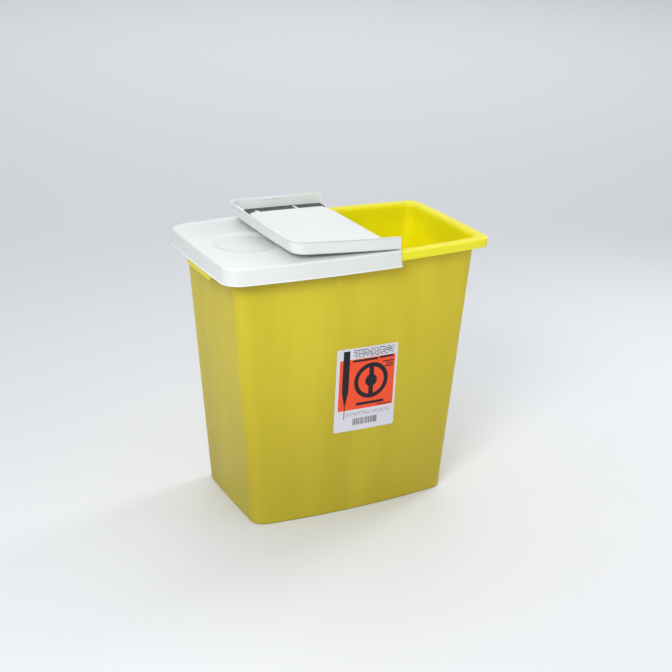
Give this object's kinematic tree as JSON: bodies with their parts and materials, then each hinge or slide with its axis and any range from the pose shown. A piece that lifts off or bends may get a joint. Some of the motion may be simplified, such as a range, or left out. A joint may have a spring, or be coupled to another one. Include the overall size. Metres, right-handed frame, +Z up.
{
  "type": "sharps container",
  "caption": "Tapered plastic disposal tub with bowed sides, a fixed half lid and a hinged flap folded open on top of it.",
  "frame": {"origin": "middle of the tub's footprint, on the floor", "axes": "+Z up; the labelled front face looks towards -Y; the fixed half of the lid is on the -X side and the hinged flap covers the +X side"},
  "size_m": [0.4397, 0.2676, 0.4533],
  "materials": {
    "tub_plastic": "translucent injection-moulded polypropylene, satin",
    "lid_plastic": "opaque white injection-moulded polypropylene, satin",
    "gasket_foam": "dark closed-cell foam strip",
    "pin_plastic": "white moulded pin",
    "label_film": "printed film label"
  },
  "bodies": {
    "container": {"tub": "tub_plastic", "lid_fixed": "lid_plastic", "gasket_fixed": "gasket_foam", "hinge_pin_front": "pin_plastic", "hinge_pin_back": "pin_plastic", "label": "label_film"},
    "flap": {"lid_flap": "lid_plastic", "gasket_flap": "gasket_foam"}
  },
  "joints": [
    {"name": "flap_hinge", "type": "hinge", "parent": "container", "child": "flap", "pos_m": [0.051, 0, 0.425], "axis": [0, 1, 0], "range_deg": [0, 177.5]}
  ]
}
